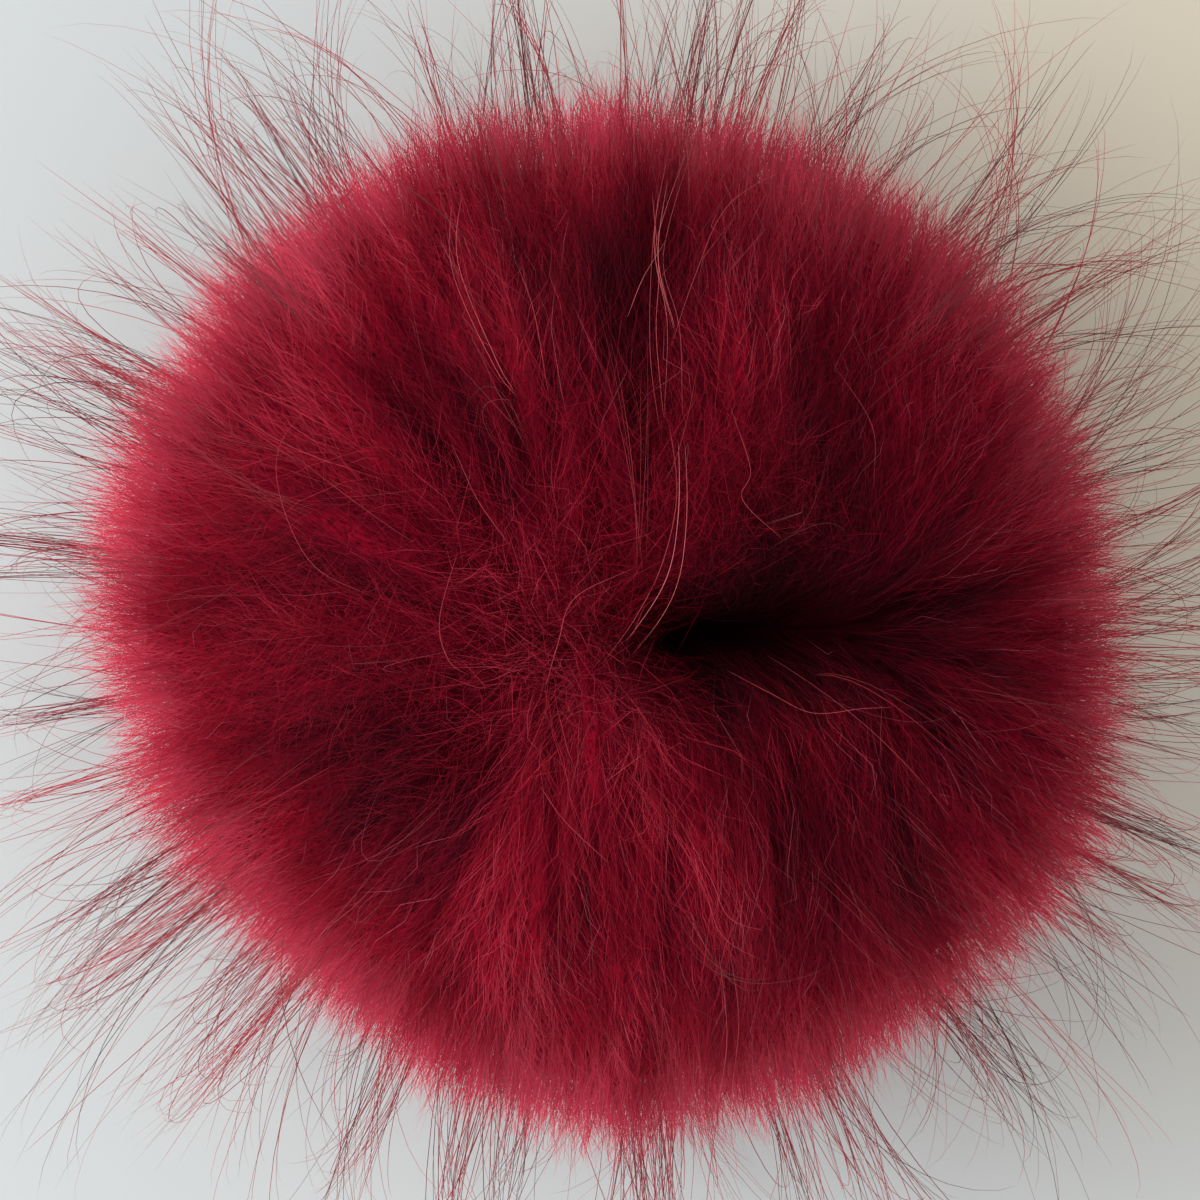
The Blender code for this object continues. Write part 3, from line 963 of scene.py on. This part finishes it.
def wool_facing(directions, step=0.012):
    """Which way the wool's outer face looks: straight out, less its slope along two tangents, and
    turned upwards round the edge."""
    first = unit(np.cross(directions, ASLANT))
    second = np.cross(directions, first)
    radius = wool_radius(directions)
    facing = directions.copy()
    for tangent in (first, second):
        rise = wool_radius(unit(directions + step * tangent)) - radius
        facing -= tangent * (rise / (step * radius))[:, None]
    return unit(unit(facing) + np.outer(EDGE_LIFT * edge_share(directions), (0, 0, 1)))


class Clumps:
    """Small clumps of hair. Each has a middle, a swing of its comb, and a difference in reach and
    shade from its neighbours."""

    def __init__(self, count, swing, reach, shade):
        rng = np.random.default_rng(SEED + 1)
        self.middles = scattered(count, rng)
        self.swing = rng.normal(0, swing, count)
        self.reach = rng.normal(0, reach, count)
        self.shade = rng.normal(0, shade, count)


def sweep_of(directions):
    """How far a hair turns along the ball from root to tip: furthest on top, where it lies over,
    and little round the edge, where it stands out."""
    over = eased(np.clip(1 - polar_of(directions) / 90, 0, 1))
    return np.radians(SWEEP_LEAST + SWEEP_MORE * over)


def coat_lines(coat, directions, clumps, member, rng, own):
    """The lines of one coat, and the directions of their tips. A hair and its clump's middle hair
    are worked out in the same way, but a middle hair has nothing of its own."""
    count = len(directions)
    turn, _, sweep = lie_of(directions)
    turn += clumps.swing[member] * (1 + matting(directions) / 0.3)
    turn += own * rng.normal(0, 1, count) * (coat.stray + matting(directions))
    comb = comb_directions(directions, turn)
    longer = np.clip(1 + sweep + own * rng.normal(0, 0.22, count), 0.3, 1.8)
    total = coat.sweep * sweep_of(directions) * longer
    height = coat.reach + clumps.reach[member] + own * rng.normal(0, coat.spread, count)
    tip_direction = unit(turned(directions, comb, total))
    root = core_radius(directions) + coat.root - ROOT_DEPTH * edge_share(directions)
    tip = np.maximum(wool_radius(tip_direction) + height, root + 0.002)
    lines = swept_lines(directions, comb, total, root, tip, coat.stations)
    return lines, tip_direction


def drawn_together(lines, middles, stations, gather, rng):
    """Each line is moved towards its clump's middle line, by a share that grows from root to tip
    as the power of 1.3."""
    pull = gather * shares(stations) ** 1.3 * rng.uniform(0.3, 1.2, (len(lines), 1, 1))
    return lines + (middles - lines) * np.clip(pull, 0, 0.95)


def wool_piece(name, lines, tips, stations, width, tint, rng):
    """A piece of wool from its hairs' lines, less those over the parting."""
    kept = clear_of_parting(lines)
    lines, tint = laid_on_floor(lines[kept] + middle()), np.clip(tint[kept], 0, 0.999)
    width = np.broadcast_to(width, len(kept))[kept] * rng.uniform(0.7, 1.3, len(lines))
    taper = np.interp(stations, *WOOL_TAPER)
    mesh = strand_mesh(name, lines, width, taper, tint, wool_facing(tips[kept]), WOOL_SOFT, rng)
    return added(name, mesh, wool_material())


def make_coat(coat, index):
    """One coat of wool. Its hairs are drawn into small clumps all over, and into wider tufts round
    the ball's edge. Each wanders a little between its ends, and curls aside by the square of its
    share."""
    rng = np.random.default_rng(SEED + 10 + index)
    directions = scattered(coat.hairs, rng)
    count = len(directions)
    clumps = Clumps(count=9000, swing=0.09, reach=0.0007, shade=0.022)
    tufts = Clumps(count=2600, swing=0.10, reach=0.0009, shade=0.0)
    member = nearest_of(directions, clumps.middles)
    lines, tips = coat_lines(coat, directions, clumps, member, rng, 1.0)
    edge = edge_share(directions)
    for group, gather in ((clumps, coat.gather), (tufts, TUFT_GATHER * edge[:, None, None])):
        every = np.arange(len(group.middles))
        middles, _ = coat_lines(coat, group.middles, group, every, rng, 0.0)
        member_lines = middles[nearest_of(directions, group.middles)]
        lines = drawn_together(lines, member_lines, coat.stations, gather, rng)
    share = shares(coat.stations)
    curl = np.cross(directions, unit(rng.normal(size=(count, 3))))[:, None] * share**2
    lines = lines + coat.wave * (rng.normal(0, 1, lines.shape) * np.sin(share * math.pi) + curl)
    # The wool's tint by place, with its painted light and shade.
    shade = shade_of(directions)
    tint = coat.shade + clumps.shade[member] + shade + rng.normal(0, 0.035, count)
    tint = np.minimum(tint, WOOL_TINT_MOST)
    # Painted highlights: pale fibres, fewer where the wool is darker or matted.
    highlight_share = np.clip(1 + 2 * shade - 1.5 * matting(directions), 0.1, 1)
    tint[rng.random(count) < coat.pale * highlight_share] = PALE_HIGHLIGHT_TINT
    width = coat.width * (1 + EDGE_WIDTH * edge * (1 - index / 3))
    return wool_piece(coat.name, lines, tips, coat.stations, width, tint, rng)


def crown_directions(rng):
    """Where the crown's hairs are rooted: some along the comb line, and the rest in the matted
    patches."""
    size = (CROWN_HAIRS, 2)
    start, end = np.array(COMB_LINE)
    along_line = start + (end - start) * rng.random((CROWN_HAIRS, 1))
    along_line = along_line + rng.normal(0, CROWN_OFF_LINE, size)
    patch = rng.integers(0, len(MATTED), CROWN_HAIRS)
    centres = np.array([each.plan for each in MATTED])
    spreads = np.array([each.radius for each in MATTED])
    in_patch = centres[patch] + rng.normal(0, CROWN_IN_PATCH, size) * spreads[patch][:, None]
    plan = np.where(rng.random((CROWN_HAIRS, 1)) < CROWN_ON_LINE, along_line, in_patch)
    height = np.sqrt(np.maximum(sizes().core_radius**2 - (plan**2).sum(axis=1), 0))
    return unit(np.column_stack([plan, height]))


def make_crown():
    """The matted wool along the comb line and left of it: short hairs, each swept its own way and
    curled aside by the square of its share."""
    rng = np.random.default_rng(SEED + 20)
    directions = crown_directions(rng)
    every_way = 1.6 * np.clip(matting(directions), 0, 1)
    turn = rng.normal(0, 0.25, CROWN_HAIRS) + rng.normal(0, 1, CROWN_HAIRS) * every_way
    comb = comb_directions(directions, turn)
    sweep = np.radians(rng.uniform(*CROWN_SWEEP, CROWN_HAIRS))
    tip_direction = unit(turned(directions, comb, sweep))
    root = core_radius(directions) - CROWN_ROOT
    reach = rng.normal(CROWN_REACH, CROWN_REACH_SPREAD, CROWN_HAIRS)
    tip = core_radius(tip_direction) + reach
    lines = swept_lines(directions, comb, sweep, root, tip, CROWN_STATIONS)
    share = shares(CROWN_STATIONS)
    across = np.cross(directions, comb)[:, None, :]
    lines = lines + across * rng.normal(0, CROWN_CURL, (CROWN_HAIRS, 1, 1)) * share**2
    lines = lines + rng.normal(0, CROWN_WAVE, lines.shape) * share
    # The crown's tint by place, with the wool's painted light and shade.
    tint = CROWN_TINT + shade_of(directions) + rng.normal(0, 0.030, CROWN_HAIRS)
    return wool_piece(
        "wool_crown", lines, tip_direction, CROWN_STATIONS, CROWN_WIDTH, tint, rng
    )


# ---- the dense wool -------------------------------------------------------------------------
def pelt_radius(directions):
    """How far out the dense wool lies: just under the wool's soft face, lower round the edge and
    beside the comb line, and deep in the parting."""
    core = core_radius(directions)
    edge_drop = PELT_EDGE_DROP * edge_share(directions)
    radius = core + PELT_RELIEF * (wool_radius(directions) - core) + PELT_OVER - edge_drop
    radius += PELT_UNEVEN * ripple(directions, 0.004, np.random.default_rng(SEED + 3))
    parting = PELT_PARTING_DROP * groove_depths(directions, (PARTING,))[:, 0]
    return radius - parting - PELT_COMB_DROP * near_comb_line(directions)


def grain_places(directions):
    """Each direction's place in the comb, as a vector that changes quickly across the way the fur
    is swept and slowly along it: the point on the same bearing on the ring round the comb line,
    and the distance from it over the grain's length, both bent by a soft noise and divided by the
    grain's size."""
    near, away, bearing = comb_places(directions)
    rng = np.random.default_rng(SEED + 6)
    bend = np.stack([ripple(directions, 0.005, rng) for _ in range(3)], axis=1)
    places = np.column_stack([near + COMB_RING * bearing, away / GRAIN_LENGTH])
    return (places + GRAIN_BEND * bend) / GRAIN_SIZE


def make_pelt():
    """The dense wool under the strands: a closed ball on a grid of azimuth and polar angle, at the
    pelt's radius, flat where it rests."""
    around, down = PELT_COLUMNS, PELT_ROWS
    azimuth = np.arange(around) * 2 * math.pi / around
    polar = (np.arange(1, down) * math.pi) / down
    a, p = np.meshgrid(azimuth, polar)
    grid = np.stack([np.sin(p) * np.cos(a), np.sin(p) * np.sin(a), np.cos(p)], axis=-1)
    directions = np.concatenate([grid.reshape(-1, 3), [[0, 0, 1.0], [0, 0, -1.0]]])
    corners = directions * pelt_radius(directions)[:, None] + middle()
    corners[:, 2] = np.maximum(corners[:, 2], 0.0)
    column = np.arange(around)
    right = (column + 1) % around
    rows = (np.arange(down - 2) * around)[:, None]
    upper_left, upper_right = rows + column, rows + right
    lower_left, lower_right = upper_left + around, upper_right + around
    last = (down - 2) * around
    crown, foot = len(corners) - 2, len(corners) - 1
    triangles = np.concatenate(
        [
            np.stack([upper_left, lower_left, lower_right], axis=-1).reshape(-1, 3),
            np.stack([upper_left, lower_right, upper_right], axis=-1).reshape(-1, 3),
            np.stack([np.full(around, crown), column, right], axis=-1),
            np.stack([np.full(around, foot), last + right, last + column], axis=-1),
        ]
    )
    mesh = bpy.data.meshes.new("pelt")
    mesh.from_pydata(corners, [], triangles)
    mesh.polygons.foreach_set("use_smooth", np.ones(len(triangles), dtype=bool))
    shade = mesh.attributes.new("shade", "FLOAT", "POINT")
    # The dense wool's tint: painted shade under the hair's tints, the wool's painted light and shade by
    # place, and painted shade beside the comb line.
    tint = PELT_PAINTED_SHADE_TINT + PELT_PLACE_SHADE * shade_of(directions)
    tint = tint - PELT_COMB_PAINTED_SHADE * near_comb_line(directions)
    shade.data.foreach_set("value", tint.astype(np.float32))
    comb = mesh.attributes.new("comb", "FLOAT_VECTOR", "POINT")
    comb.data.foreach_set("vector", grain_places(directions).astype(np.float32).ravel())
    return added("pelt", mesh, pelt_material())


# ---- the guard hair -------------------------------------------------------------------------
def bent_lines(directions, comb, sweep, root, tip, side_bend, droop):
    """Guard hair: a swept line that also bends aside and droops, both by the square of the share
    of its length."""
    lines = swept_lines(directions, comb, sweep, root, tip, GUARD_STATIONS)
    share = shares(GUARD_STATIONS)
    across = np.cross(directions, comb)[:, None, :]
    lines = lines + across * side_bend[:, None, None] * share**2
    lines[..., 2] -= droop[:, None] * share[..., 0] ** 2
    return lines


def guard_tints(bundle, rng):
    """The tints of guard hairs by their bundle: two in three bundles are red, and the rest brown.
    Each hair differs from its bundle."""
    count = bundle.max() + 1
    red, brown = rng.uniform(*RED_TINTS, count), rng.uniform(*BROWN_TINTS, count)
    tint = np.where(rng.random(count) < RED_SHARE, red, brown)
    return np.clip(tint[bundle] + rng.normal(0, 0.13, len(bundle)), 0.02, 0.90)


def guard_share(directions):
    """How much guard hair shows by place: all of it round the edge, and next to none on top, where
    it lies under the wool."""
    return np.clip((polar_of(directions) - GUARD_START) / GUARD_RUN, GUARD_LEAST, 1)


def guard_piece(name, lines, directions, bundle, width, rng):
    """A piece of guard hair, less the hairs over the parting. A hair that would reach past the
    limit is scaled down to it. Where little guard hair shows, it is also finer and darker."""
    kept = clear_of_parting(lines)
    furthest = np.linalg.norm(lines, axis=2).max(axis=1)
    lines = lines * np.minimum(1, GUARD_LIMIT / furthest)[:, None, None]
    lines, directions = laid_on_floor(lines[kept] + middle()), unit(directions[kept])
    count, tints = len(lines), guard_tints(bundle, rng)[kept]
    taper = np.interp(GUARD_STATIONS, *GUARD_TAPER)
    width = width * rng.uniform(0.6, 1.2, count) * (0.6 + 0.4 * guard_share(directions))
    tints = tints * (0.55 + 0.45 * guard_share(directions))
    mesh = strand_mesh(name, lines, width, taper, tints, directions, GUARD_SOFT, rng)
    return added(name, mesh, guard_material())


def make_guard_hair():
    """Guard hair that stands out past the wool in loose bundles. A bundle's middle hair is swept
    and bent, much as the bundles near it are. Each of its hairs starts aside of that one, crosses
    it part of the way out, and then leaves it by the square of its share."""
    rng = np.random.default_rng(SEED + 30)
    s = sizes()
    hairs = s.guard_hairs
    bundles = scattered(hairs // HAIRS_IN_BUNDLE, rng)
    bundles = bundles[rng.random(len(bundles)) < guard_share(bundles)]
    count = len(bundles)
    alike = ripple(bundles, BUNDLES_ALIKE, rng)
    turn = BUNDLE_TURN[0] * alike + rng.normal(0, BUNDLE_TURN[1], count)
    comb = comb_directions(bundles, turn)
    sweep = np.radians(rng.normal(*BUNDLE_SWEEP, count))
    root = core_radius(bundles) - GUARD_ROOT
    tip = s.guard_reach + rng.normal(*BUNDLE_REACH, count)
    tip = np.clip(tip, BUNDLE_NEAREST, s.guard_reach + BUNDLE_FURTHEST)
    bend = BUNDLE_BEND[0] * alike + rng.normal(0, BUNDLE_BEND[1], count)
    droop = np.abs(rng.normal(0, BUNDLE_DROOP, count))
    middles = bent_lines(bundles, comb, sweep, root, tip, bend, droop)
    member = rng.integers(0, count, hairs)
    share = shares(GUARD_STATIONS)
    start = middles[member, :1]
    lines = start + (middles[member] - start) * rng.uniform(*BUNDLE_LENGTHS, (hairs, 1, 1))
    loose = rng.uniform(0.3, 1.3, count)[member, None, None]
    crossing = rng.uniform(*BUNDLE_CROSSING, (hairs, 1, 1))
    lines += rng.normal(0, BUNDLE_ROOTS, (hairs, 1, 3)) * loose * (1 - share / crossing)
    lines += rng.normal(0, BUNDLE_TIPS, (hairs, 1, 3)) * loose * share**2
    return guard_piece("guard_hair", lines, bundles[member], member, s.guard_width, rng)


def make_top_hair():
    """Thin guard hairs that lie over the wool, swept far along the comb, with fewer of them where
    it is matted."""
    rng = np.random.default_rng(SEED + 35)
    directions = scattered(TOP_HAIRS, rng)
    directions = directions[rng.random(len(directions)) > 0.9 * matting(directions)]
    count = len(directions)
    turn, _, _ = lie_of(directions)
    comb = comb_directions(directions, turn + rng.normal(0, 0.25, count))
    sweep = sweep_of(directions) * rng.uniform(1.2, 2.2, count)
    tip_direction = unit(turned(directions, comb, sweep))
    root = core_radius(directions) - TOP_ROOT
    tip = core_radius(tip_direction) + rng.normal(TOP_REACH, TOP_REACH_SPREAD, count)
    bend, droop = rng.normal(0, 0.0025, count), np.zeros(count)
    lines = bent_lines(directions, comb, sweep, root, tip, bend, droop)
    width = TOP_WIDTH * sizes().guard_width
    return guard_piece("top_hair", lines, directions, np.arange(count), width, rng)


def wisp_ends():
    """The tips of the solid's long wisps, and the middle of the ring before each: a tip is a
    corner well outside the wool with no corner near it that stands out further."""
    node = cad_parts[NODE]
    places = np.empty(len(node.data.vertices) * 3, np.float32)
    node.data.vertices.foreach_get("co", places)
    places = np.unique(places.reshape(-1, 3).round(6), axis=0).astype(float) - middle()
    places = places[np.linalg.norm(places, axis=1) > WISP_OUTSIDE]
    out = np.linalg.norm(places, axis=1)
    apart = np.linalg.norm(places[:, None] - places[None], axis=2)
    beaten = ((apart < TIPS_APART) & (out[None, :] > out[:, None])).any(axis=1)
    tips = places[~beaten]
    to_others = np.linalg.norm(tips[:, None] - places[None], axis=2)
    to_others[to_others < 1e-6] = 1
    nearest = np.argsort(to_others, axis=1)[:, :3]
    return tips, places[nearest].mean(axis=1)


def make_wisps():
    """Loose bundles of guard hair along the solid's wisps: a curve of the second degree through
    root, ring and tip. Each hair starts and ends its own way off that curve, and bows between."""
    rng = np.random.default_rng(SEED + 40)
    tips, rings = wisp_ends()
    outwards = unit(rings)
    hairs = rng.integers(*WISP_HAIRS, len(tips)) * np.maximum(guard_share(outwards), WISP_LEAST)
    of_wisp = np.repeat(np.arange(len(tips)), np.round(hairs).astype(int))
    count = len(of_wisp)
    root = outwards * (core_radius(outwards) - GUARD_ROOT)[:, None]
    root, ring, tip = (ends[of_wisp, None] for ends in (root, rings, tips))
    t = shares(GUARD_STATIONS)
    at_root = (t - WISP_RING) * (t - 1) / WISP_RING
    at_ring = t * (t - 1) / (WISP_RING * (WISP_RING - 1))
    at_tip = t * (t - WISP_RING) / (1 - WISP_RING)
    length = rng.uniform(*WISP_LENGTHS, (count, 1, 1))
    line = root + (at_root * root + at_ring * ring + at_tip * tip - root) * length
    loose = rng.uniform(0.3, 1.2, len(tips))[of_wisp, None, None]
    start = rng.normal(0, WISP_ROOTS, (count, 1, 3))
    end = rng.normal(0, WISP_TIPS, (count, 1, 3))
    bow = rng.normal(0, WISP_BOW, (count, 1, 3))
    line = line + loose * (start * (1 - t) + end * t**2 + bow * np.sin(math.pi * t))
    return guard_piece("guard_wisps", line, outwards[of_wisp], of_wisp, sizes().guard_width, rng)


def curve_through(places, t):
    """A Catmull-Rom curve through the places: between two of them, a cubic whose slope at each is
    half of what lies between its two neighbours. Past the ends, the places go on as they began."""
    ends = 2 * places[[0, -1]] - places[[1, -2]]
    knots = np.concatenate([ends[:1], places, ends[1:]])
    position = t * (len(places) - 1)
    first = np.minimum(position.astype(int), len(places) - 2)
    f = (position - first)[:, None]
    a, b, c, d = (knots[first + i] for i in range(4))
    square, cube = 2 * a - 5 * b + 4 * c - d, 3 * b - a - 3 * c + d
    return 0.5 * (2 * b + (c - a) * f + square * f**2 + cube * f**3)


def make_stray_hairs():
    """The long bright hairs that lie loose over the wool: each runs through its plan places on a
    curve, and stays a little above the wool's outer face, smoothed to a parabola."""
    rng = np.random.default_rng(SEED + 50)
    t = np.asarray(STRAY_STATIONS)
    over = sizes().core_radius + STRAY_HEIGHT
    lines, tints = [], []
    for stray in STRAYS:
        tints += [stray.tint] * stray.hairs
        curve = curve_through(np.array(stray.places), t)
        for _ in range(stray.hairs):
            plan = curve + rng.normal(0, 0.0005, (1, 2)) + rng.normal(0, 0.0010, (1, 2)) * t[:, None]
            height = np.sqrt(np.maximum(over**2 - (plan**2).sum(axis=1), 1e-6))
            directions = unit(np.column_stack([plan, height]))
            out = wool_radius(directions) + STRAY_HEIGHT
            out = np.polyval(np.polyfit(t, out, 2), t) + rng.normal(0, 0.0004)
            lines.append(directions * out[:, None])
    lines = np.array(lines)
    count = len(lines)
    taper = np.interp(STRAY_STATIONS, *STRAY_TAPER)
    width = STRAY_WIDTH * sizes().guard_width * rng.uniform(0.7, 1.1, count)
    tint = np.array(tints) - rng.uniform(0, 0.06, count)
    facing = unit(lines[:, len(STRAY_STATIONS) // 2])
    mesh = strand_mesh("stray_hairs", lines + middle(), width, taper, tint, facing, GUARD_SOFT, rng)
    return added("stray_hairs", mesh, guard_material())


# ---- making the studio ----------------------------------------------------------------------
def make_floor():
    """A plain floor, pale and cool, with a painted patch of warm light at one side as in the
    photograph: its colour is mixed by the distance from the patch's middle."""
    half = FLOOR_HALF
    mesh = bpy.data.meshes.new("floor")
    mesh.from_pydata(
        [(-half, -half, 0), (half, -half, 0), (half, half, 0), (-half, half, 0)], [], [(0, 1, 2, 3)]
    )
    material = bpy.data.materials.new("floor")
    material.use_nodes = True
    tree = material.node_tree
    shader = tree.nodes["Principled BSDF"]
    place = tree.nodes.new("ShaderNodeTexCoord")
    away = tree.nodes.new("ShaderNodeVectorMath")
    away.operation = "DISTANCE"
    away.inputs[1].default_value = WARM_LIGHT_PLACE
    tree.links.new(place.outputs["Object"], away.inputs[0])
    # Painted warm light, strongest at the patch's middle.
    warm_light_share = ranged(tree, away.outputs["Value"], WARM_LIGHT_RADII[1], WARM_LIGHT_RADII[0], kind="SMOOTHSTEP")
    cool, warm = (*colours().floor, 1.0), (*colours().floor_warm_light, 1.0)
    tree.links.new(mixed(tree, warm_light_share, cool, warm), shader.inputs["Base Color"])
    shader.inputs["Roughness"].default_value = FLOOR_ROUGHNESS
    mesh.materials.append(material)
    floor = bpy.data.objects.new("floor", mesh)
    bpy.context.scene.collection.objects.link(floor)
    floor.location.z = -FLOOR_DROP


def add_light(given):
    """A square lamp that faces the ball."""
    light = bpy.data.lights.new(given.name, "AREA")
    light.size = given.size
    light.energy = given.power
    light.color = given.colour
    lamp = bpy.data.objects.new(given.name, light)
    bpy.context.scene.collection.objects.link(lamp)
    lamp.location = given.place
    aim = np.array(LIGHT_AIM) - np.array(given.place)
    lamp.rotation_euler = Vector(aim).to_track_quat("-Z", "Y").to_euler()


def make_camera():
    """A camera straight above, so far away that the photograph's frame spans its real width."""
    camera = bpy.data.cameras.new("camera")
    camera.lens = LENS
    camera.sensor_width = SENSOR
    camera.clip_start = 0.01
    view = bpy.data.objects.new("camera", camera)
    bpy.context.scene.collection.objects.link(view)
    across = FRAME_PIXELS * MM_PER_PIXEL / 1000
    away = across * LENS / SENSOR
    half = FRAME_PIXELS / 2
    view.location = (
        (half - BALL_PIXEL[0]) * MM_PER_PIXEL / 1000,
        (BALL_PIXEL[1] - half) * MM_PER_PIXEL / 1000,
        sizes().core_height + away,
    )
    bpy.context.scene.camera = view


def make_world():
    """Even light from all round."""
    world = bpy.data.worlds.new("studio")
    world.use_nodes = True
    background = world.node_tree.nodes["Background"]
    background.inputs["Color"].default_value = AIR_COLOUR
    background.inputs["Strength"].default_value = AIR_STRENGTH
    bpy.context.scene.world = world
    bpy.context.scene.view_settings.view_transform = "Standard"


# ---- the add-on -----------------------------------------------------------------------------
class POMPOM_OT_pelt(bpy.types.Operator):
    """Makes the ball of dense wool that the hair grows from"""

    bl_idname = "pom_pom.pelt"
    bl_label = "Dense wool"

    def execute(self, context):
        make_pelt()
        return {"FINISHED"}


class POMPOM_OT_coats(bpy.types.Operator):
    """Makes the coats of wool, from the shortest to the longest, and the matted crown"""

    bl_idname = "pom_pom.coats"
    bl_label = "Coats of wool"

    def execute(self, context):
        for index, coat in enumerate(COATS):
            make_coat(coat, index)
        make_crown()
        return {"FINISHED"}


class POMPOM_OT_guard(bpy.types.Operator):
    """Makes the long guard hair, in bundles, in wisps and lying loose"""

    bl_idname = "pom_pom.guard"
    bl_label = "Guard hair"

    def execute(self, context):
        make_guard_hair()
        make_top_hair()
        make_wisps()
        make_stray_hairs()
        return {"FINISHED"}


class POMPOM_OT_stage(bpy.types.Operator):
    """Makes the floor, the lights and the camera"""

    bl_idname = "pom_pom.stage"
    bl_label = "Studio"

    def execute(self, context):
        make_floor()
        make_world()
        for light in LIGHTS:
            add_light(light)
        make_camera()
        return {"FINISHED"}


class POMPOM_PT_panel(bpy.types.Panel):
    """Lists what can be made"""

    bl_idname = "POMPOM_PT_panel"
    bl_label = "Pom pom"
    bl_space_type = "VIEW_3D"
    bl_region_type = "UI"
    bl_category = "Pom pom"

    def draw(self, context):
        for operator in OPERATORS:
            self.layout.operator(operator.bl_idname)


OPERATORS = (POMPOM_OT_pelt, POMPOM_OT_coats, POMPOM_OT_guard, POMPOM_OT_stage)
CLASSES = (PomPomSizes, PomPomColours, *OPERATORS, POMPOM_PT_panel)


def register():
    """Registers the classes, and gives the scene its sizes and colours."""
    for each in CLASSES:
        bpy.utils.register_class(each)
    bpy.types.Scene.pom_pom_sizes = PointerProperty(type=PomPomSizes)
    bpy.types.Scene.pom_pom_colours = PointerProperty(type=PomPomColours)


def unregister():
    """Takes away what register adds."""
    del bpy.types.Scene.pom_pom_sizes
    del bpy.types.Scene.pom_pom_colours
    for each in reversed(CLASSES):
        bpy.utils.unregister_class(each)


def main():
    """Makes every piece and the studio."""
    register()
    bpy.ops.pom_pom.pelt()
    bpy.ops.pom_pom.coats()
    bpy.ops.pom_pom.guard()
    bpy.ops.pom_pom.stage()


if __name__ == "__main__":
    main()
